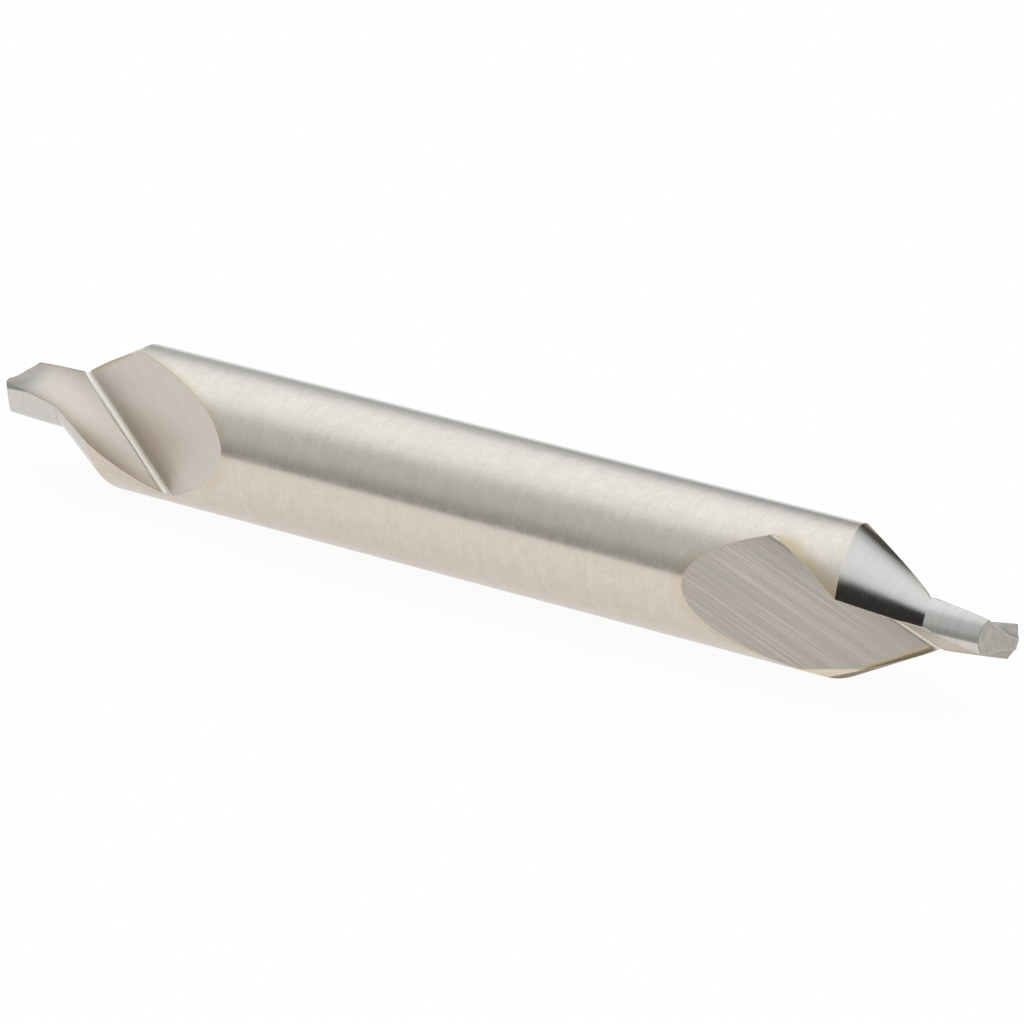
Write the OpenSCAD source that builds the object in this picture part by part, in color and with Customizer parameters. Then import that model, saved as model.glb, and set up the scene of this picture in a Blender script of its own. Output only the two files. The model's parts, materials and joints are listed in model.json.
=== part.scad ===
// Centre drill, double ended: a round body with a countersink and a pilot drill at each end.
// All lengths are in millimetres. The axis is X, and the origin is at mid-length.

/* [Body] */
// Diameter of the body
body_d = 6.35; // [5.6:0.01:7.6]
// Overall length, from point to point
overall_len = 50.8; // [40:0.1:80]
// Turn of the flutes at the right end about the axis
right_turn = 172.5; // [0:0.1:360]
// Turn of the flutes at the left end about the axis
left_turn = 10.8; // [0:0.1:360]

/* [Pilot drill] */
// Diameter of the pilot across its cutting corners
pilot_d = 2.78; // [2:0.01:3.4]
// Length of the pilot, from its cutting corners to the countersink
pilot_len = 2.78; // [1.5:0.01:4]
// Included angle of the point, along its two lips
point_angle = 118; // [95:1:140]
// Turn of the lips from the way that the heel walls face
lip_turn = 17; // [0:1:40]
// Turn of the point's slope behind the lips, which gives them clearance
clearance_turn = 38; // [10:1:55]
// Offset of each pilot land from the axis, which gives it relief
pilot_relief = 0.09; // [0:0.01:0.2]

/* [Countersink] */
// Included angle of the countersink
sink_angle = 60; // [50:1:90]
// Turn of the countersink's cutting edges from the way that the heel walls face
edge_turn = -14; // [-30:1:10]
// Offset of the right end's countersink lands from the axis, which gives them relief
right_relief = 0.15; // [0:0.01:0.3]
// Tilt of the right end's countersink lands, which adds relief towards the body
right_tilt = 2.5; // [0:0.1:4]
// Offset of the left end's countersink lands from the axis
left_relief = 0.22; // [0:0.01:0.3]
// Tilt of the left end's countersink lands
left_tilt = 0.8; // [0:0.1:4]
// Turn from a cutting edge to the way that its land is offset
relief_turn = 18; // [10:1:60]

/* [Flutes] */
// Angle of the flat heel wall to the axis
heel_angle = 20.3; // [15:0.1:26]
// Distance from the point at which the heel wall crosses the axis
heel_reach = 5.24; // [4.4:0.01:6.4]
// Slant of the root on the heel wall
root_slant = 27.3; // [15:0.1:35]
// Sideways offset of the root where the heel wall crosses the axis
root_offset = 0.46; // [0.1:0.01:0.9]
// Radius of the groove in the root
root_r = 0.16; // [0.1:0.01:0.3]
// Depth of the groove below the heel wall
root_depth = 0.03; // [0.01:0.01:0.09]
// Radius of the hollow rake wall
rake_r = 2; // [1.6:0.01:2.4]
// Distance from the point to the middle of the rake wall
rake_back = 5.9; // [4.5:0.01:7.5]
// Height of the rake wall's centre over the axis, at its middle
rake_up = 1.93; // [1.7:0.01:2.3]
// Sideways offset of the rake wall's centre, at its middle
rake_side = 1.36; // [1.2:0.01:1.8]
// Slope of the rake wall towards the axis
rake_slope = 13.4; // [8:0.1:17]
// Slant of the rake wall round the axis
rake_slant = 16.5; // [10:0.1:22]
// Radius of the bend along the rake wall
rake_bend = 23.9; // [18:0.1:60]
// Turn of that bend about the flute's own line
rake_roll = 84; // [60:1:110]

// Thickness of the web that is left at the point
web = 0.44; // [0.2:0.01:0.8]
// Radius of the hollow that thins the web at the point
thin_r = 1.2; // [0.9:0.01:1.5]
// Turn of that hollow from the way that the heel walls face
thin_turn = 77; // [65:1:90]
// Slope of that hollow towards the axis
thin_slope = 7; // [4:0.1:12]
// Slant of that hollow round the axis
thin_slant = 11; // [5:0.1:18]

/* [Hidden] */
$fn = 96;
body_r = body_d / 2;
pilot_r = pilot_d / 2;
tip_x = overall_len / 2;
sink_slope = tan(sink_angle / 2);
lip_slope = 1 / tan(point_angle / 2);
// Slope of the point's two flats, straight down each
flat_tilt = atan(lip_slope / cos(clearance_turn));
// Stations along the axis, from mid-length
corner_x = tip_x - pilot_r * lip_slope;
neck_x = corner_x - pilot_len;
// The countersink's half angle about a land's tilted axis
function land_half(tilt) = sink_angle / 2 - tilt * cos(relief_turn);
// The station of that cone's apex
function apex_x(relief) = neck_x + (pilot_r - relief * cos(relief_turn)) / sink_slope;
// Distance from the apex by which every side of a tilted land has passed the body's radius
function land_run(relief, tilt) = (body_r + relief) / tan(land_half(tilt) - tilt);
// A length that clears the body on every side
clear = 3 * body_d;
// Each land is taken a little past the plane between the lands
land_lap = 0.2;
// That plane's turn, which lies in the flutes
land_turn = lip_turn - 57;

// The block on the X side of the YZ plane, to the clear length
module block_ahead() {
    translate([0, -clear, -clear]) cube([2 * clear, 2 * clear, 2 * clear]);
}

// One land: the countersink's cone and the pilot, each set off the axis for relief
module land(relief, tilt) {
    run = land_run(relief, tilt);
    cone_h = 1.1 * run;
    cone_r = cone_h * tan(land_half(tilt));
    pilot_off = pilot_relief * cos(relief_turn);
    intersection() {
        union() {
            rotate([edge_turn + relief_turn, 0, 0])
                translate([apex_x(relief), relief, 0])
                    rotate([0, 0, -tilt])
                        translate([-cone_h, 0, 0])
                            rotate([0, 90, 0]) cylinder(h = cone_h, r1 = cone_r, r2 = 0);
            rotate([lip_turn + relief_turn, 0, 0])
                translate([apex_x(relief) - run, pilot_relief, 0])
                    rotate([0, 90, 0]) cylinder(h = run + body_d, r = pilot_r - pilot_off);
        }
        rotate([land_turn, 0, 0])
            translate([0, -land_lap, -clear])
                cube([tip_x + clear, 2 * clear, 2 * clear]);
    }
}

// The two flats of the point, as the room ahead of them
module point_room() {
    translate([tip_x, 0, 0])
        rotate([lip_turn - clearance_turn, 0, 0])
            for (side = [-1, 1])
                rotate([0, 0, side * flat_tilt]) block_ahead();
}

// The frame of the heel wall: X along the root to the point, Y out of the wall
module on_heel_wall() {
    translate([tip_x - heel_reach, 0, root_offset])
        rotate([0, 0, -heel_angle])
            rotate([0, -root_slant, 0]) children();
}

// The hollow side of a flute: a round wheel's path, bent round the axis
module rake_room() {
    arc = 2 * asin(min(0.9, 1.6 * body_d / rake_bend));
    translate([tip_x - rake_back, rake_up, rake_side])
        rotate([0, 0, -rake_slope])
            rotate([0, -rake_slant, 0])
                rotate([rake_roll, 0, 0])
                    translate([0, -rake_bend, 0])
                        rotate([0, 0, 90 - arc / 2])
                            rotate_extrude(angle = arc)
                                translate([rake_bend, 0]) circle(r = rake_r);
}

// The hollow that thins the web at the point
module thin_room() {
    rotate([thin_turn, 0, 0])
        translate([tip_x, thin_r + web / 2, 0])
            rotate([0, 0, -thin_slope])
                rotate([0, -thin_slant, 0])
                    translate([-pilot_len, 0, 0])
                        rotate([0, 90, 0]) cylinder(h = pilot_len + body_d, r = thin_r);
}

// One flute: the heel wall, the hollow rake wall and the groove where they meet
module flute_room() {
    intersection() {
        union() {
            on_heel_wall()
                translate([-clear, 0, root_r / 2]) cube([2 * clear, clear, clear]);
            rake_room();
            thin_room();
        }
        on_heel_wall()
            translate([-clear, 0, -clear]) cube([2 * clear, clear, 2 * clear]);
    }
    on_heel_wall()
        translate([-clear, root_r - root_depth, 0])
            rotate([0, 90, 0]) cylinder(h = 2 * clear, r = root_r);
}

// The room round one end's two flutes and point
module end_room() {
    for (half = [0, 180]) rotate([half, 0, 0]) flute_room();
    point_room();
}

// The two lands of one end, before they are fluted
module end_lands(relief, tilt) {
    for (half = [0, 180]) rotate([half, 0, 0]) land(relief, tilt);
}

// Puts what is made towards X at the right end or at the left end
module at_right() {
    rotate([right_turn, 0, 0]) children();
}

module at_left() {
    rotate([0, 0, 180]) rotate([left_turn, 0, 0]) children();
}

module centre_drill() {
    right_x = apex_x(right_relief) - land_run(right_relief, right_tilt);
    left_x = apex_x(left_relief) - land_run(left_relief, left_tilt);
    color("silver")
        difference() {
            intersection() {
                translate([-tip_x - body_d, 0, 0])
                    rotate([0, 90, 0]) cylinder(h = overall_len + 2 * body_d, r = body_r);
                union() {
                    translate([-left_x, -body_d, -body_d])
                        cube([left_x + right_x, 2 * body_d, 2 * body_d]);
                    at_right() end_lands(right_relief, right_tilt);
                    at_left() end_lands(left_relief, left_tilt);
                }
            }
            at_right() end_room();
            at_left() end_room();
        }
}

centre_drill();
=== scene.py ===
"""Finishes and stage for a double-ended centre drill, laid out as an add-on and run as a script."""
import json
import math

import bpy
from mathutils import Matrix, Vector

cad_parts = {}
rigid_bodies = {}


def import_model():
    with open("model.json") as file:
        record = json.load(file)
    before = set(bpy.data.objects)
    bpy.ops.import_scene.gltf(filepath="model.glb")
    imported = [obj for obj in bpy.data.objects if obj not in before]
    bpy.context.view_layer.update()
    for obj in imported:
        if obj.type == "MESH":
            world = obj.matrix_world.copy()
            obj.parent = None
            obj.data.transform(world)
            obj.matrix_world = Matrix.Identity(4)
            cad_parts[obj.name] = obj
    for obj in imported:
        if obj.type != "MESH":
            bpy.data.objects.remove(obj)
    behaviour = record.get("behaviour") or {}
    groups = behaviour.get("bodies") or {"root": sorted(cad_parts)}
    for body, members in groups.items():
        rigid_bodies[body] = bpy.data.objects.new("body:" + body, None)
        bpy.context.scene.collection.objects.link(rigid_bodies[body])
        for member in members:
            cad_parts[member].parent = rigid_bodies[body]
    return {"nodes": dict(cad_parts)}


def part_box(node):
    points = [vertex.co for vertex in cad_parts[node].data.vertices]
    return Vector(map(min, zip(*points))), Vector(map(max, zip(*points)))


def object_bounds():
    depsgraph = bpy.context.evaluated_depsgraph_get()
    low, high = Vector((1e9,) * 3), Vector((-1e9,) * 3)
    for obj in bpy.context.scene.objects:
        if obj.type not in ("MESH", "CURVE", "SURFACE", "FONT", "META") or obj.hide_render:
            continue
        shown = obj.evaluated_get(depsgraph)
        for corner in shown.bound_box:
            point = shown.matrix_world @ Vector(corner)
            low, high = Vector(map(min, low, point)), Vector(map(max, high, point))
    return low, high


bl_info = {
    "name": "Centre drill finishes",
    "version": (1, 0, 0),
    "blender": (4, 5, 0),
    "location": "View3D > Sidebar > Centre drill",
    "description": "Ground steel finishes for a double-ended centre drill, with a studio stage",
    "category": "Material",
}

for start_object in list(bpy.data.objects):
    bpy.data.objects.remove(start_object)

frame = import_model()
CAD_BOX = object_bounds()

DRILL = "centre_drill"
MM = 0.001
LOW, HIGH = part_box(DRILL)
BODY_R = (HIGH[2] - LOW[2]) / 2
HALF_LENGTH = (HIGH[0] - LOW[0]) / 2


# Properties: the sizes and colours that a user would change


class DrillShape(bpy.types.PropertyGroup):
    """Where the flutes lie, so that each ground surface can be told from the next."""

    body_radius: bpy.props.FloatProperty(
        name="Body radius", description="Radius of the round body", default=BODY_R, unit="LENGTH"
    )
    half_length: bpy.props.FloatProperty(
        name="Half length", description="From mid-length to a point", default=HALF_LENGTH, unit="LENGTH"
    )
    right_turn: bpy.props.FloatProperty(
        name="Right turn", description="Turn of the right end's flutes about the axis",
        default=math.radians(172.5), subtype="ANGLE",
    )
    left_turn: bpy.props.FloatProperty(
        name="Left turn", description="Turn of the left end's flutes about the axis",
        default=math.radians(10.8), subtype="ANGLE",
    )
    heel_angle: bpy.props.FloatProperty(
        name="Heel angle", description="Angle of the flat heel wall to the axis",
        default=math.radians(20.3), subtype="ANGLE",
    )
    heel_reach: bpy.props.FloatProperty(
        name="Heel reach", description="Distance from the point at which the heel wall crosses the axis",
        default=5.24 * MM, unit="LENGTH",
    )
    root_slant: bpy.props.FloatProperty(
        name="Root slant", description="Slant of the root on the heel wall",
        default=math.radians(27.3), subtype="ANGLE",
    )
    root_offset: bpy.props.FloatProperty(
        name="Root offset", description="Sideways offset of the root", default=0.46 * MM, unit="LENGTH"
    )
    root_radius: bpy.props.FloatProperty(
        name="Root radius", description="Radius of the groove in the root",
        default=0.16 * MM, unit="LENGTH",
    )
    root_depth: bpy.props.FloatProperty(
        name="Root depth", description="Depth of the groove below the heel wall",
        default=0.03 * MM, unit="LENGTH",
    )
    pilot_radius: bpy.props.FloatProperty(
        name="Pilot radius", description="Radius of the pilot drill", default=1.39 * MM, unit="LENGTH"
    )
    apex: bpy.props.FloatProperty(
        name="Apex", description="Distance from mid-length to the countersink cone's apex, at the heels",
        default=23.8 * MM, unit="LENGTH",
    )
    sink_half: bpy.props.FloatProperty(
        name="Half angle", description="Half of the countersink's included angle",
        default=math.radians(30), subtype="ANGLE",
    )


class DrillFinish(bpy.types.PropertyGroup):
    """Colours and grinding marks of the steel."""

    body_color: bpy.props.FloatVectorProperty(
        name="Body", description="Ground steel of the round body", subtype="COLOR",
        default=(0.72, 0.638, 0.556), min=0, max=1,
    )
    sink_color: bpy.props.FloatVectorProperty(
        name="Countersink", description="Polished steel of the countersink lands", subtype="COLOR",
        default=(0.60, 0.562, 0.522), min=0, max=1,
    )
    # Painted shade: a darker tint on the right end's countersink reflection where the lands are seen
    # edge-on, standing in for the shadowed floor they mirror.
    right_grazing_shade: bpy.props.FloatVectorProperty(
        name="Right edge-on", description="Tint of the right end's countersink lands seen edge-on",
        subtype="COLOR", default=(0.42, 0.37, 0.31), min=0, max=1,
    )
    # The left end's lands get no painted shade: their tint is white.
    left_grazing_shade: bpy.props.FloatVectorProperty(
        name="Left edge-on", description="Tint of the left end's countersink lands seen edge-on",
        subtype="COLOR", default=(1.0, 1.0, 1.0), min=0, max=1,
    )
    pilot_color: bpy.props.FloatVectorProperty(
        name="Pilot", description="Ground steel of the pilot drills", subtype="COLOR",
        default=(0.647, 0.613, 0.573), min=0, max=1,
    )
    point_color: bpy.props.FloatVectorProperty(
        name="Point", description="Ground steel of the drill points", subtype="COLOR",
        default=(0.614, 0.559, 0.5), min=0, max=1,
    )
    heel_color: bpy.props.FloatVectorProperty(
        name="Heel walls", description="Coarsely ground steel of the flat walls", subtype="COLOR",
        default=(0.665, 0.606, 0.542), min=0, max=1,
    )
    rake_color: bpy.props.FloatVectorProperty(
        name="Rake walls", description="Smooth steel of the hollow walls", subtype="COLOR",
        default=(0.783, 0.687, 0.59), min=0, max=1,
    )
    # Painted highlight: the groove is coloured brighter than the steel around it, for the light its
    # narrow hollow catches.
    groove_highlight_color: bpy.props.FloatVectorProperty(
        name="Root groove", description="Bright steel in the groove at the root", subtype="COLOR",
        default=(0.976, 0.898, 0.815), min=0, max=1,
    )
    tint_color: bpy.props.FloatVectorProperty(
        name="Edge tint", description="Straw tint that grinding heat leaves along the edges",
        subtype="COLOR", default=(0.567, 0.443, 0.295), min=0, max=1,
    )
    line_color: bpy.props.FloatVectorProperty(
        name="Edge line", description="Fine golden line on the edges themselves", subtype="COLOR",
        default=(0.885, 0.738, 0.511), min=0, max=1,
    )
    edge_radius: bpy.props.FloatProperty(
        name="Edge radius", description="Radius to which wear has rounded the edges", default=0.05 * MM,
        unit="LENGTH",
    )
    ridge_color: bpy.props.FloatVectorProperty(
        name="Heel ridge", description="Golden line where the strip along the heel begins",
        subtype="COLOR", default=(0.636, 0.511, 0.34), min=0, max=1,
    )
    # Painted reflection of the narrow facet along the heel, light beside the body.
    facet_light_color: bpy.props.FloatVectorProperty(
        name="Straw heel", description="Straw strip along the heel beside the body", subtype="COLOR",
        default=(0.995, 0.88, 0.715), min=0, max=1,
    )
    # Painted shade on the same facet, beside the countersink.
    facet_shade_color: bpy.props.FloatVectorProperty(
        name="Burnt heel", description="Brown strip along the heel beside the countersink",
        subtype="COLOR", default=(0.148, 0.119, 0.079), min=0, max=1,
    )
    neck_radius: bpy.props.FloatProperty(
        name="Neck radius", description="Radius between a countersink and its pilot", default=0.1 * MM,
        unit="LENGTH",
    )
    tint_reach: bpy.props.FloatProperty(
        name="Tint reach", description="How far the straw tint spreads from an edge", default=0.7 * MM,
        unit="LENGTH",
    )
    body_roughness: bpy.props.FloatProperty(
        name="Body roughness", description="Roughness of the ground body", default=0.2, min=0, max=1,
        subtype="FACTOR",
    )
    sink_roughness: bpy.props.FloatProperty(
        name="Countersink roughness", description="Roughness of the polished lands",
        default=0.16, min=0, max=1, subtype="FACTOR",
    )
    flute_roughness: bpy.props.FloatProperty(
        name="Flute roughness", description="Roughness of the flute walls", default=0.3, min=0, max=1,
        subtype="FACTOR",
    )
    line_pitch: bpy.props.FloatProperty(
        name="Line pitch", description="Mean distance between grinding lines", default=0.09 * MM,
        unit="LENGTH",
    )
    line_depth: bpy.props.FloatProperty(
        name="Line depth", description="Depth of the grinding lines", default=0.0009 * MM, unit="LENGTH"
    )


class DrillStage(bpy.types.PropertyGroup):
    """Camera, floor and light."""

    camera_place: bpy.props.FloatVectorProperty(
        name="Camera", description="Place of the camera", subtype="XYZ", unit="LENGTH",
        default=(0.16204, -0.228022, 0.110533),
    )
    camera_aim: bpy.props.FloatVectorProperty(
        name="Aim", description="Rotation of the camera", subtype="EULER",
        default=(math.radians(68.404), 0.0, math.radians(35.219)),
    )
    lens: bpy.props.FloatProperty(
        name="Lens", description="Focal length in millimetres, on a 36 mm sensor", default=256.83
    )
    floor_color: bpy.props.FloatVectorProperty(
        name="Floor", description="Colour of the floor", subtype="COLOR", default=(1.0, 1.0, 1.0),
        min=0, max=1,
    )
    shadow_share: bpy.props.FloatProperty(
        name="Shadow share", description="How much of the floor's shade shows",
        default=0.06, min=0, max=1, subtype="FACTOR",
    )
    mirrored_share: bpy.props.FloatProperty(
        name="Mirrored share", description="How much of the floor's shade the steel mirrors",
        default=0.3, min=0, max=1, subtype="FACTOR",
    )
    light_level: bpy.props.FloatProperty(
        name="Light level", description="Level of the brightest part of the studio",
        default=1.145, min=0,
    )


# Shader maths as expressions on sockets


class Value:
    """A number socket that can be used in Python expressions."""

    def __init__(self, graph, socket):
        self.graph = graph
        self.socket = socket

    def math(self, operation, *others):
        return self.graph.math(operation, self, *others)

    def __add__(self, other):
        return self.math("ADD", other)

    def __radd__(self, other):
        return self.graph.math("ADD", other, self)

    def __sub__(self, other):
        return self.math("SUBTRACT", other)

    def __rsub__(self, other):
        return self.graph.math("SUBTRACT", other, self)

    def __mul__(self, other):
        return self.math("MULTIPLY", other)

    def __rmul__(self, other):
        return self.graph.math("MULTIPLY", other, self)

    def __truediv__(self, other):
        return self.math("DIVIDE", other)

    def __rtruediv__(self, other):
        return self.graph.math("DIVIDE", other, self)

    def __abs__(self):
        return self.math("ABSOLUTE")

    def __neg__(self):
        return self.graph.math("SUBTRACT", 0.0, self)

    def swing(self, amount):
        """Turns noise between 0 and 1 into a swing about 0, of the amount from end to end."""
        return (self - 0.5) * amount

    def above(self, other):
        return self.math("GREATER_THAN", other)

    def below(self, other):
        return self.math("LESS_THAN", other)

    def ramp(self, start, end, low=0.0, high=1.0):
        """Goes smoothly from low at start to high at end."""
        return self.graph.node(
            "ShaderNodeMapRange",
            {"interpolation_type": "SMOOTHSTEP", "clamp": True},
            {"Value": self, "From Min": start, "From Max": end, "To Min": low, "To Max": high},
        )


class Graph:
    """A node tree that is written as expressions."""

    def __init__(self, tree):
        self.tree = tree
        tree.nodes.clear()

    def node(self, kind, settings=None, sockets=None, output=0):
        """Adds a node, sets it up, and returns one of its outputs, by name or by number."""
        node = self.tree.nodes.new(kind)
        for name, setting in (settings or {}).items():
            if name == "stops":
                self.set_stops(node.color_ramp, setting)
            else:
                setattr(node, name, setting)
        for key, value in (sockets or {}).items():
            self.feed(node.inputs[key], value)
        if not node.outputs:
            return node
        return Value(self, node.outputs[output])

    @staticmethod
    def set_stops(color_ramp, stops):
        while len(color_ramp.elements) < len(stops):
            color_ramp.elements.new(1.0)
        for element, (place, color) in zip(color_ramp.elements, stops):
            element.position = place
            element.color = (*color, 1.0)

    def feed(self, socket, value):
        if isinstance(value, Value):
            self.tree.links.new(value.socket, socket)
        elif socket.type == "RGBA":
            socket.default_value = (*value, 1.0)
        else:
            socket.default_value = value

    def math(self, operation, *terms):
        return self.node("ShaderNodeMath", {"operation": operation}, dict(enumerate(terms)))

    def vector(self, operation, *terms, output=0):
        sockets = dict(enumerate(terms))
        return self.node("ShaderNodeVectorMath", {"operation": operation}, sockets, output)

    def combine(self, x, y, z):
        return self.node("ShaderNodeCombineXYZ", None, {"X": x, "Y": y, "Z": z})

    def split(self, vector):
        node = self.tree.nodes.new("ShaderNodeSeparateXYZ")
        self.feed(node.inputs[0], vector)
        return [Value(self, output) for output in node.outputs]

    def mix(self, share, first, second):
        """Mixes two colours."""
        sockets = {0: share, 6: first, 7: second}
        return self.node("ShaderNodeMix", {"data_type": "RGBA"}, sockets, output=2)

    def mix_vectors(self, share, first, second):
        sockets = {0: share, 4: first, 5: second}
        return self.node("ShaderNodeMix", {"data_type": "VECTOR"}, sockets, output=1)

    def noise(self, place, scale, detail, rough):
        return self.node(
            "ShaderNodeTexNoise",
            None,
            {"Vector": place, "Scale": scale, "Detail": detail, "Roughness": rough},
        )

    def place_mm(self):
        """The place on the drill, in millimetres."""
        place = self.node("ShaderNodeTexCoord", output="Object")
        return self.node("ShaderNodeVectorMath", {"operation": "SCALE"}, {0: place, "Scale": 1 / MM})

    def bevel(self, radius, samples):
        """The normal, as if every edge were rounded to the radius."""
        return self.node("ShaderNodeBevel", {"samples": samples}, {"Radius": radius})

    def surface(self, sockets):
        """Ends the tree with a metal surface."""
        shader = self.node("ShaderNodeBsdfPrincipled", None, {"Metallic": 1.0, **sockets})
        self.node("ShaderNodeOutputMaterial", None, {"Surface": shader})


def new_material(name):
    material = bpy.data.materials.new(name)
    material.use_nodes = True
    return material, Graph(material.node_tree)


# Places on the drill, in millimetres


def right_end(graph):
    """1 on the right half of the drill, and 0 on the left half."""
    return graph.split(graph.place_mm())[0].above(0.0)


def station_of(graph):
    """Distance from mid-length."""
    return abs(graph.split(graph.place_mm())[0])


def flute_place(graph, shape, by_side):
    """Along, out of and across the heel wall of the nearest flute."""
    x, y, z = graph.split(graph.place_mm())
    at_right = x.above(0.0)
    turn_r, turn_l = shape.right_turn, shape.left_turn
    y_right = y * math.cos(turn_r) + z * math.sin(turn_r)
    z_right = z * math.cos(turn_r) - y * math.sin(turn_r)
    y_left = z * math.sin(turn_l) - y * math.cos(turn_l)
    z_left = z * math.cos(turn_l) + y * math.sin(turn_l)
    y_end = y_left + at_right * (y_right - y_left)
    z_end = z_left + at_right * (z_right - z_left)
    ahead = abs(x) - (shape.half_length - shape.heel_reach) / MM
    sin_h, cos_h = math.sin(shape.heel_angle), math.cos(shape.heel_angle)
    sin_s, cos_s = math.sin(shape.root_slant), math.cos(shape.root_slant)
    rise = ahead * sin_h
    if by_side:
        second = y_end.below(0.0)
    else:
        second = abs(rise - y_end * cos_h).below(abs(rise + y_end * cos_h))
    side = 1.0 - 2.0 * second
    y_flute = y_end * side
    z_flute = z_end * side - shape.root_offset / MM
    down_wall = ahead * cos_h - y_flute * sin_h
    along = down_wall * cos_s + z_flute * sin_s
    out = rise + y_flute * cos_h
    across = z_flute * cos_s - down_wall * sin_s
    return along, out, across


def skin_depth(graph, shape):
    """Depth below the drill's outer skin."""
    x, y, z = graph.split(graph.place_mm())
    radius = graph.math("SQRT", y * y + z * z)
    cone = (shape.apex / MM - abs(x)) * math.tan(shape.sink_half)
    outer = graph.math("MINIMUM", cone, shape.body_radius / MM)
    return graph.math("MAXIMUM", outer, shape.pilot_radius / MM) - radius


def neck_station(shape):
    """Distance from mid-length to the foot of the countersink."""
    return (shape.apex - shape.pilot_radius / math.tan(shape.sink_half)) / MM


def near_neck(station, neck):
    """1 where a countersink meets its pilot, fading to 0 on both sides."""
    middle = neck + 0.25
    return abs(station - middle).ramp(0.35, 0.65, 1.0, 0.0)


def ring_lines(graph, pitch, stretch):
    """Noise that runs in fine lines round the axis."""
    x, y, z = graph.split(graph.place_mm())
    across = MM / pitch
    around = across * stretch
    place = graph.combine(x * across, y * around, z * around)
    return graph.noise(place, scale=1.0, detail=3.0, rough=0.6)


def wall_streaks(graph, lengthways, crossways, layer, detail, rough):
    """Noise in streaks, from places along and across a wall that are already scaled."""
    return graph.noise(graph.combine(lengthways, crossways, layer), 1.0, detail, rough)


def bump(graph, height, depth, normal):
    """The normal with the height's relief, to the depth."""
    return graph.node("ShaderNodeBump", None, {"Distance": depth, "Height": height, "Normal": normal})


def two_tone(graph, share, color, spread):
    """A colour that goes from darker to lighter by the spread, as the share goes from 0 to 1."""
    dark = [part * (1 - spread) for part in color]
    light = [min(1.0, part * (1 + spread)) for part in color]
    return graph.mix(share, dark, light)


class Edges:
    """Worn edges: a rounded normal, a fine golden line and a broad straw tint."""

    def __init__(self, graph, look):
        self.graph = graph
        self.look = look
        self.normal = graph.bevel(look.edge_radius, samples=6)
        plain = graph.node("ShaderNodeNewGeometry", output="Normal")
        self.line = graph.vector("DISTANCE", self.normal, plain, output="Value").ramp(0.05, 0.2)

    def fillet(self, share, radius):
        """Rounds the normal to a larger radius, by the share."""
        wide = self.graph.bevel(radius, samples=8)
        self.normal = self.graph.mix_vectors(share, self.normal, wide)

    def tint(self, color, broad, line, line_color=None):
        """Tints the colour broadly beside the edges, and draws the line on them."""
        graph, look = self.graph, self.look
        inner = graph.node(
            "ShaderNodeAmbientOcclusion",
            {"samples": 6, "inside": True, "only_local": True},
            {"Distance": look.tint_reach},
            output="AO",
        )
        near = (1.0 - inner).ramp(0.03, 0.6)
        tinted = graph.mix(near * broad, color, look.tint_color)
        return graph.mix(self.line * line, tinted, line_color or look.line_color)


def darker(color, share):
    """The colour brought down to the share."""
    return [part * share for part in color]


# Finishes


def body_finish(shape, look):
    """Ground steel with fine lines round the axis and a faint mottle."""
    material, graph = new_material("ground_body")
    edges = Edges(graph, look)
    place = graph.place_mm()
    at_right = right_end(graph)
    fine = ring_lines(graph, look.line_pitch, stretch=0.02)
    coarse = ring_lines(graph, look.line_pitch * 4, stretch=0.03)
    mottle = graph.noise(place, scale=1.6, detail=4.0, rough=0.6)
    grain = graph.noise(place, scale=7.0, detail=2.0, rough=0.6)
    lines = fine * 0.65 + coarse * 0.35
    tone = lines.swing(0.5) + mottle.swing(0.7) + grain.swing(0.5)
    color = two_tone(graph, 0.5 + tone, look.body_color, spread=0.16)
    _, out, across = flute_place(graph, shape, by_side=False)
    beside_heel = out.ramp(-0.3, -0.02) * across.ramp(1.5, 2.5)
    color = graph.mix(beside_heel * 0.4, color, look.ridge_color)
    graph.surface({
        "Base Color": edges.tint(color, broad=0.2 + 0.7 * at_right, line=0.4 + 0.3 * at_right),
        "Roughness": look.body_roughness + mottle.swing(0.12) + grain.swing(0.1),
        "Normal": bump(graph, lines + grain * 0.3, look.line_depth, edges.normal),
    })
    return material


def sink_finish(shape, look, name, grazing_shade):
    """Polished steel with faint streaks round the axis, and a tint on its reflection where it is seen
    edge-on, which paints shade into that reflection.
    """
    material, graph = new_material(name)
    edges = Edges(graph, look)
    place = graph.place_mm()
    station = station_of(graph)
    neck = neck_station(shape)
    streaks = ring_lines(graph, look.line_pitch * 1.6, stretch=0.03)
    mottle = graph.noise(place, scale=2.2, detail=4.0, rough=0.6)
    specks = graph.noise(place, scale=13.0, detail=2.0, rough=0.6).ramp(0.58, 0.76)
    tone = streaks.swing(0.4) + mottle.swing(0.3)
    color = two_tone(graph, 0.5 + tone, look.sink_color, spread=0.15)
    short_of_neck = station.ramp(neck - 0.4, neck - 0.1, 1.0, 0.0)
    edges.fillet(near_neck(station, neck), look.neck_radius)
    graph.surface({
        "Base Color": edges.tint(color, broad=0.2, line=0.6 * short_of_neck),
        # Painted shade in the reflection, where the lands are seen edge-on.
        "Specular Tint": grazing_shade,
        "Roughness": look.sink_roughness + mottle.swing(0.1),
        "Normal": bump(graph, streaks + specks, look.line_depth * 1.2, edges.normal),
    })
    return material


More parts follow.
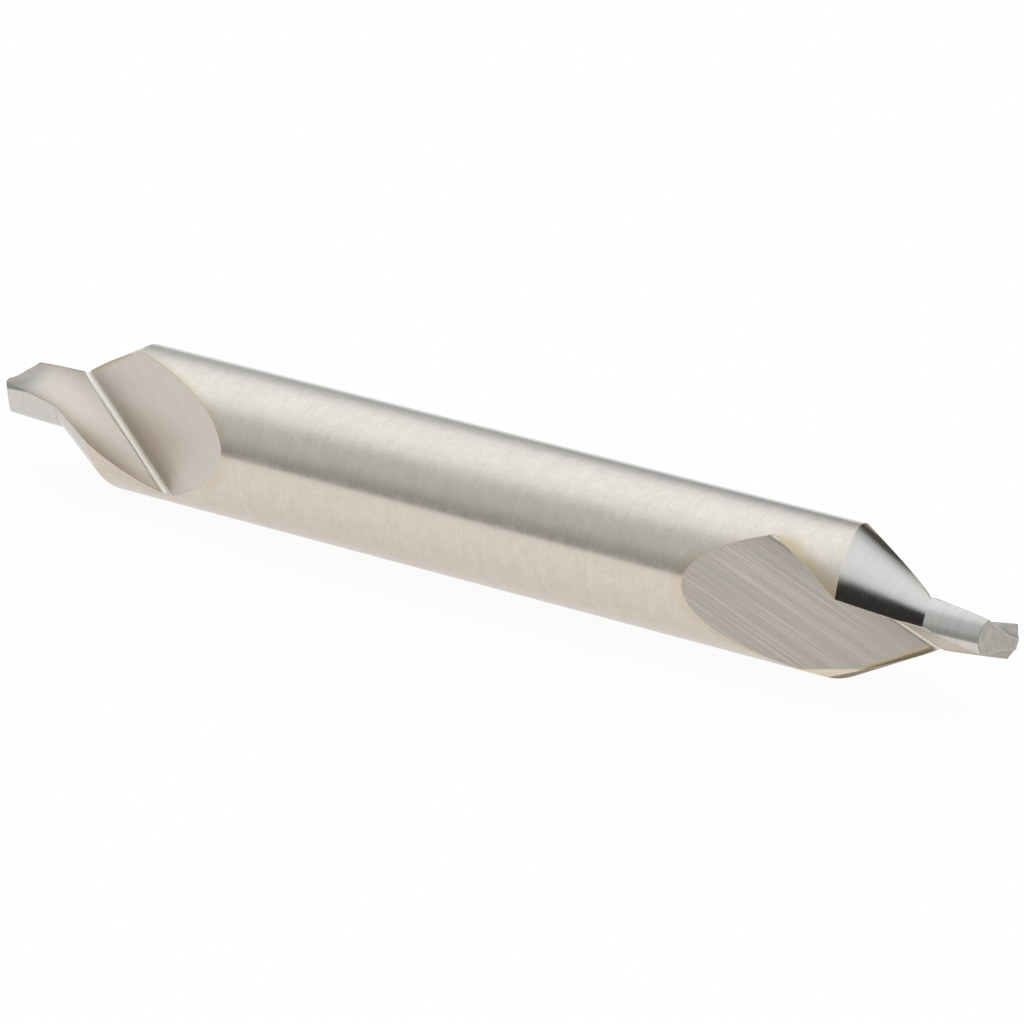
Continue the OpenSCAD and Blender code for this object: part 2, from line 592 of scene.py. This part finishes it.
def pilot_finish(shape, look):
    """Ground steel with coarser lines round the axis."""
    material, graph = new_material("ground_pilot")
    edges = Edges(graph, look)
    station = station_of(graph)
    neck = neck_station(shape)
    lines = ring_lines(graph, look.line_pitch * 1.8, stretch=0.03)
    mottle = graph.noise(graph.place_mm(), scale=3.0, detail=4.0, rough=0.6)
    tone = lines.swing(0.6) + mottle.swing(0.2)
    color = two_tone(graph, 0.5 + tone, look.pilot_color, spread=0.22)
    dark = darker(look.pilot_color, 0.45)
    clear_of_neck = station.ramp(neck + 0.7, neck + 1.0)
    edges.fillet(near_neck(station, neck), look.neck_radius)
    graph.surface({
        "Base Color": edges.tint(color, broad=0.1, line=0.5 * clear_of_neck, line_color=dark),
        "Roughness": look.body_roughness - 0.08 + mottle.swing(0.08),
        "Normal": bump(graph, lines, look.line_depth * 2.2, edges.normal),
    })
    return material


def point_finish(look):
    """Lightly ground flats of the drill point."""
    material, graph = new_material("ground_point")
    edges = Edges(graph, look)
    stretched = graph.vector("MULTIPLY", graph.place_mm(), (2.0, 5.0, 2.0))
    marks = graph.noise(stretched, scale=1.0, detail=3.0, rough=0.6)
    color = two_tone(graph, marks.ramp(0.25, 0.75), look.point_color, spread=0.13)
    graph.surface({
        "Base Color": edges.tint(color, broad=0.1, line=0.4),
        "Roughness": look.flute_roughness + marks.swing(0.1),
        "Normal": bump(graph, marks, look.line_depth * 2, edges.normal),
    })
    return material


def heel_strip(graph, look, along, across, at_right):
    """The strip on a heel wall's trailing edge, a painted reflection of a narrow facet there: light
    straw beside the body, dark brown beside the countersink.
    """
    corner_along, corner_across = -0.51, 2.49
    slope_at_body, slope_at_sink, left_inset = 0.72, 1.35, 0.3
    past = along - corner_along
    beside_sink = past.ramp(-0.15, 0.2)
    body_limit = corner_across - slope_at_body * past
    sink_limit = corner_across - slope_at_sink * past
    limit = graph.math("MINIMUM", body_limit, sink_limit)
    over = across - limit - left_inset * (1.0 - at_right)
    # The facet's painted reflection: light beside the body, dark beside the countersink.
    straw = graph.mix(over.ramp(0.0, 0.12), look.ridge_color, look.facet_light_color)
    facet_shade = graph.mix(over.ramp(0.0, 0.28), look.ridge_color, look.facet_shade_color)
    right_or_sink = beside_sink + at_right - beside_sink * at_right
    share = over.ramp(-0.05 - 0.14 * beside_sink, 0.05) * right_or_sink
    return share * (0.6 + 0.4 * at_right), graph.mix(beside_sink, straw, facet_shade)


def heel_finish(shape, look):
    """Grinding streaks along the root, on the flat walls, with painted shade beside the root and the
    left end's walls painted lighter.
    """
    material, graph = new_material("streaked_heel_wall")
    edges = Edges(graph, look)
    along, _, across = flute_place(graph, shape, by_side=False)
    at_right = right_end(graph)
    fine = wall_streaks(graph, along * 0.1, across * 20.0, layer=0.0, detail=4.0, rough=0.75)
    broad = wall_streaks(graph, along * 0.06, across * 2.2, layer=3.0, detail=2.0, rough=0.5)
    bright = wall_streaks(graph, along * 0.05, across * 8.0, layer=7.0, detail=1.0, rough=0.5)
    streaks = fine * 0.72 + broad * 0.28
    # Painted light: the left end's walls are painted lighter, and with weaker streaks and no light
    # lines, than the right end's, for the different fall of light on each end.
    level = 0.64 - 0.52 * at_right
    contrast = 0.45 + 1.05 * at_right
    tone = level + streaks.ramp(0.3, 0.7).swing(contrast) + bright.ramp(0.62, 0.74) * 0.35 * at_right
    streaked = two_tone(graph, tone, look.heel_color, spread=0.2)
    # Painted shade beside the root.
    painted_root_shade = across.ramp(0.05, 1.3, 0.32, 0.0)
    color = graph.mix(painted_root_shade, streaked, darker(look.heel_color, 0.55))
    # The trailing edge's painted facet reflection.
    share, strip = heel_strip(graph, look, along, across, at_right)
    graph.surface({
        "Base Color": edges.tint(graph.mix(share, color, strip), broad=0.3, line=0.4 + 0.3 * at_right),
        "Roughness": look.flute_roughness + 0.06 + broad.swing(0.12),
        "Normal": bump(graph, streaks, look.line_depth * 3, edges.normal),
    })
    return material


def rake_finish(shape, look):
    """Smooth hollow walls with faint streaks along the flute, with painted shade beside the heel and at
    the tip.
    """
    material, graph = new_material("smooth_rake_wall")
    edges = Edges(graph, look)
    along, out, across = flute_place(graph, shape, by_side=True)
    at_left = 1.0 - right_end(graph)
    station = station_of(graph)
    neck = neck_station(shape)
    streaks = wall_streaks(graph, along * 0.15, across * 5.0, layer=out * 5.0, detail=3.0, rough=0.6)
    at_pilot = station.ramp(neck + 0.9, neck + 2.9)
    plain = graph.mix(at_pilot * (1.0 - 0.5 * at_left), look.rake_color, look.pilot_color)
    shaded = graph.mix(0.15, plain, (0.0, 0.0, 0.0))
    color = graph.mix(streaks, shaded, plain)
    # The dark colour of the painted shade, which also draws the line on the edges.
    dark = darker(look.pilot_color, 0.3)
    rise = (station - (shape.half_length - shape.heel_reach) / MM) * math.sin(shape.heel_angle)
    beside_heel = (out - rise).ramp(0.5, 1.0, 1.0, 0.0)
    beyond_neck = station.ramp(neck, neck + 1.8)
    # Painted shade near the skin, beside the heel.
    painted_edge_shade = (0.25 - skin_depth(graph, shape)).ramp(0.0, 0.3) * beside_heel
    color = graph.mix(painted_edge_shade * (0.25 + 0.3 * beyond_neck * at_left), color, dark)
    # Painted shade in the hollow at the tip.
    painted_tip_shade = station.ramp(neck + 1.9, neck + 3.1)
    color = graph.mix(painted_tip_shade * 0.38, color, dark)
    graph.surface({
        "Base Color": edges.tint(color, broad=0.3, line=0.6 + 0.35 * at_left, line_color=dark),
        "Roughness": look.flute_roughness + 0.2 + streaks.swing(0.08),
        "Normal": bump(graph, streaks, look.line_depth * 2, edges.normal),
    })
    return material


def groove_finish(shape, look):
    """The narrow groove at the root, with a painted highlight in its bright colour and painted shade
    towards the heel wall.
    """
    material, graph = new_material("bright_root_groove")
    along, _, across = flute_place(graph, shape, by_side=False)
    streaks = wall_streaks(graph, along * 0.2, across * 12.0, layer=0.0, detail=2.0, rough=0.5)
    color = two_tone(graph, streaks, look.groove_highlight_color, spread=0.06)
    # Painted shade on the heel wall's side of the groove.
    heel_side_shade = across.ramp(-0.04, 0.1)
    color = graph.mix(heel_side_shade * 0.5, color, darker(look.heel_color, 0.55))
    graph.surface({
        # At the right end the painted highlight is dimmed towards the ridge's golden colour.
        "Base Color": graph.mix(right_end(graph) * 0.15, color, look.ridge_color),
        "Roughness": look.flute_roughness + 0.2 + streaks.swing(0.05),
        "Normal": graph.bevel(look.edge_radius * 2.4, samples=8),
    })
    return material


# Which surface a face belongs to

ON_WALL = 0.002 * MM
IN_GROOVE = 0.02 * MM
GROOVE_HEIGHT = 0.2 * MM
POINT_ZONE = 2 * MM


def end_place(shape, place, turned=False):
    """Turns a place or a direction on the drill into the frame of its own end."""
    x, y, z = place
    if turned:
        turn, x, y = shape.left_turn, -x, -y
    else:
        turn = shape.right_turn
    cos_t, sin_t = math.cos(turn), math.sin(turn)
    return x, y * cos_t + z * sin_t, z * cos_t - y * sin_t


def surface_of(shape, face):
    """Names the ground surface that a face of the drill lies on."""
    turned = face.center[0] < 0
    x, y, z = end_place(shape, face.center, turned)
    nx, ny, nz = end_place(shape, face.normal, turned)
    radius = math.hypot(y, z)
    outward = (y * ny + z * nz) / max(radius, 1e-9)
    ahead = x - (shape.half_length - shape.heel_reach)
    point_start = shape.half_length - POINT_ZONE
    sin_h, cos_h = math.sin(shape.heel_angle), math.cos(shape.heel_angle)
    sin_s, cos_s = math.sin(shape.root_slant), math.cos(shape.root_slant)
    for side in (1, -1):
        out = ahead * sin_h + side * y * cos_h
        z_flute = side * z - shape.root_offset
        across = z_flute * cos_s - (ahead * cos_h - side * y * sin_h) * sin_s
        facing = nx * sin_h + side * ny * cos_h
        if abs(out) < ON_WALL and facing > 0.999:
            return "heel"
        to_axis = math.hypot(out - shape.root_radius + shape.root_depth, across)
        in_groove = abs(to_axis - shape.root_radius) < IN_GROOVE and out < GROOVE_HEIGHT
        if in_groove and x < point_start:
            return "groove"
    if radius > shape.body_radius * 0.97 and outward > 0.99:
        return "body"
    if nx > 0.6 and x > point_start:
        return "point"
    if outward > 0.7 and nx > 0.3:
        return "left sink" if turned else "right sink"
    near_pilot = 0.8 < radius / shape.pilot_radius < 1.3
    if near_pilot and outward > 0.9 and abs(nx) < 0.1:
        return "pilot"
    return "rake"


def sort_faces(mesh, shape):
    """Lists the faces on each ground surface. Faces that share corners lie on the same one."""
    patch = list(range(len(mesh.vertices)))

    def root(corner):
        while patch[corner] != corner:
            patch[corner] = patch[patch[corner]]
            corner = patch[corner]
        return corner

    for face in mesh.polygons:
        first = root(face.vertices[0])
        for corner in face.vertices[1:]:
            patch[root(corner)] = first
    members, votes = {}, {}
    for face in mesh.polygons:
        key = root(face.vertices[0])
        members.setdefault(key, []).append(face.index)
        tally = votes.setdefault(key, {})
        name = surface_of(shape, face)
        tally[name] = tally.get(name, 0.0) + face.area
    surfaces = {}
    for key, tally in votes.items():
        surfaces.setdefault(max(tally, key=tally.get), []).extend(members[key])
    return surfaces


def give_finish(surface, material):
    """Puts a material on every face of the named surface."""
    drill = frame["nodes"][DRILL]
    faces = sort_faces(drill.data, bpy.context.scene.drill_shape).get(surface)
    if not faces:
        raise RuntimeError("no face of the drill lies on its " + surface)
    drill.data.materials.append(material)
    index = len(drill.data.materials) - 1
    for face in faces:
        drill.data.polygons[face].material_index = index


# Floor, light and camera

# Light of the white tent, by the share of a half turn from the front, over the top, to the back
TENT_LEVELS = (
    (0.0, 0.31), (0.055, 0.33), (0.11, 0.40), (0.165, 0.50), (0.33, 0.58), (0.40, 0.73), (0.45, 0.88),
    (0.52, 0.96), (0.62, 1.0), (0.72, 0.96), (0.79, 0.84), (0.86, 0.56), (0.94, 0.42), (1.0, 0.45),
)
OPENING_COLOR = (0.034, 0.034, 0.034)
BACK_COLOR = (0.068, 0.068, 0.068)
FLOOR_HALF = 3.0


def make_floor(stage):
    """A plain floor under the drill, which the camera and the steel see as white with a soft shadow."""
    height = CAD_BOX[0][2]
    mesh = bpy.data.meshes.new("floor")
    signs = ((-1, -1), (1, -1), (1, 1), (-1, 1))
    corners = [(across * FLOOR_HALF, back * FLOOR_HALF, height) for across, back in signs]
    mesh.from_pydata(corners, [], [(0, 1, 2, 3)])
    floor = bpy.data.objects.new("floor", mesh)
    bpy.context.scene.collection.objects.link(floor)
    material, graph = new_material("pale_floor")
    rays = ("Is Camera Ray", "Is Transmission Ray", "Is Glossy Ray")
    by_camera, by_glass, by_gloss = [graph.node("ShaderNodeLightPath", output=ray) for ray in rays]
    seen = (by_camera + by_glass) * (1.0 - stage.shadow_share) + by_gloss * (1.0 - stage.mirrored_share)
    shaded = graph.node("ShaderNodeBsdfDiffuse", None, {"Color": stage.floor_color})
    plain = graph.node("ShaderNodeEmission", None, {"Color": stage.floor_color, "Strength": 1.0})
    both = graph.node("ShaderNodeMixShader", None, {0: seen, 1: shaded, 2: plain})
    graph.node("ShaderNodeOutputMaterial", None, {"Surface": both})
    mesh.materials.append(material)


def tent_color(place, level):
    """The tent's light at a place on its half turn, a little cooler towards the back."""
    return level * 0.97, level * (1.03 + 0.02 * place), level * (1.04 + 0.1 * place)


def fading(angle, inner, outer):
    """1 within the inner angle, fading to 0 at the outer one, both in degrees."""
    return angle.ramp(math.radians(inner), math.radians(outer), 1.0, 0.0)


def light_studio(scene, stage):
    """A white tent, bright overhead, with a dark camera opening in front and a dark patch low behind."""
    world = bpy.data.worlds.new("studio")
    scene.world = world
    world.use_nodes = True
    graph = Graph(world.node_tree)
    x, y, z = graph.split(graph.node("ShaderNodeTexCoord", output="Generated"))
    stops = [(place, tent_color(place, level)) for place, level in TENT_LEVELS]
    turn = graph.math("ARCTAN2", z, -y) / math.pi
    tent = graph.node("ShaderNodeValToRGB", {"stops": stops}, {0: turn})
    height = graph.math("ARCSINE", z)
    bearing = graph.math("ARCTAN2", x, -y)
    opening = fading(abs(bearing - math.radians(38)), 17, 25) * fading(height, 46, 62)
    light = graph.mix(opening, tent, OPENING_COLOR)
    behind = graph.math("ARCTAN2", x, y)
    back = fading(abs(behind + math.radians(2)), 18, 34) * fading(height, 14, 26)
    light = graph.mix(back * 0.85, light, BACK_COLOR)
    sockets = {"Color": light, "Strength": stage.light_level}
    background = graph.node("ShaderNodeBackground", None, sockets)
    graph.node("ShaderNodeOutputWorld", None, {"Surface": background})


def place_camera(scene, stage):
    """The camera at the photograph's viewing angle."""
    data = bpy.data.cameras.new("camera")
    data.sensor_width = 36.0
    data.lens = stage.lens
    data.clip_start = 0.01
    data.clip_end = 100.0
    camera = bpy.data.objects.new("camera", data)
    scene.collection.objects.link(camera)
    camera.location = stage.camera_place
    camera.rotation_euler = stage.camera_aim
    scene.camera = camera


# Operators


class FinishBody(bpy.types.Operator):
    """Give the round body its ground finish."""

    bl_idname = "centre_drill.finish_body"
    bl_label = "Finish the body"

    def execute(self, context):
        scene = context.scene
        frame["nodes"][DRILL].data.materials.clear()
        give_finish("body", body_finish(scene.drill_shape, scene.drill_finish))
        return {"FINISHED"}


class FinishCountersinks(bpy.types.Operator):
    """Give the countersink lands their polished finish."""

    bl_idname = "centre_drill.finish_countersinks"
    bl_label = "Finish the countersinks"

    def execute(self, context):
        scene = context.scene
        shape, look = scene.drill_shape, scene.drill_finish
        give_finish("right sink", sink_finish(shape, look, "right_countersink", look.right_grazing_shade))
        give_finish("left sink", sink_finish(shape, look, "left_countersink", look.left_grazing_shade))
        return {"FINISHED"}


class FinishPilots(bpy.types.Operator):
    """Give the pilot drills and their points their ground finish."""

    bl_idname = "centre_drill.finish_pilots"
    bl_label = "Finish the pilots"

    def execute(self, context):
        scene = context.scene
        give_finish("pilot", pilot_finish(scene.drill_shape, scene.drill_finish))
        give_finish("point", point_finish(scene.drill_finish))
        return {"FINISHED"}


class FinishFlutes(bpy.types.Operator):
    """Give the flutes' walls and root grooves their finishes."""

    bl_idname = "centre_drill.finish_flutes"
    bl_label = "Finish the flutes"

    def execute(self, context):
        scene = context.scene
        give_finish("heel", heel_finish(scene.drill_shape, scene.drill_finish))
        give_finish("rake", rake_finish(scene.drill_shape, scene.drill_finish))
        give_finish("groove", groove_finish(scene.drill_shape, scene.drill_finish))
        return {"FINISHED"}


class SetStage(bpy.types.Operator):
    """Set the floor, the studio light and the camera."""

    bl_idname = "centre_drill.set_stage"
    bl_label = "Set the stage"

    def execute(self, context):
        stage = context.scene.drill_stage
        make_floor(stage)
        light_studio(context.scene, stage)
        place_camera(context.scene, stage)
        context.scene.view_settings.view_transform = "Standard"
        return {"FINISHED"}


# Panel and registration


class DrillPanel(bpy.types.Panel):
    """Lists the finishes and the stage."""

    bl_idname = "VIEW3D_PT_centre_drill"
    bl_label = "Centre drill"
    bl_space_type = "VIEW_3D"
    bl_region_type = "UI"
    bl_category = "Centre drill"

    def draw(self, context):
        for operator in OPERATORS:
            self.layout.operator(operator.bl_idname)
        for group in (context.scene.drill_shape, context.scene.drill_finish, context.scene.drill_stage):
            box = self.layout.box()
            for name in group.__annotations__:
                box.prop(group, name)


OPERATORS = (FinishBody, FinishCountersinks, FinishPilots, FinishFlutes, SetStage)
CLASSES = (DrillShape, DrillFinish, DrillStage, *OPERATORS, DrillPanel)


def register():
    for cls in CLASSES:
        bpy.utils.register_class(cls)
    bpy.types.Scene.drill_shape = bpy.props.PointerProperty(type=DrillShape)
    bpy.types.Scene.drill_finish = bpy.props.PointerProperty(type=DrillFinish)
    bpy.types.Scene.drill_stage = bpy.props.PointerProperty(type=DrillStage)


def unregister():
    del bpy.types.Scene.drill_stage
    del bpy.types.Scene.drill_finish
    del bpy.types.Scene.drill_shape
    for cls in reversed(CLASSES):
        bpy.utils.unregister_class(cls)


def main():
    register()
    bpy.ops.centre_drill.finish_body()
    bpy.ops.centre_drill.finish_countersinks()
    bpy.ops.centre_drill.finish_pilots()
    bpy.ops.centre_drill.finish_flutes()
    bpy.ops.centre_drill.set_stage()
    bpy.context.view_layer.update()


if __name__ == "__main__":
    main()
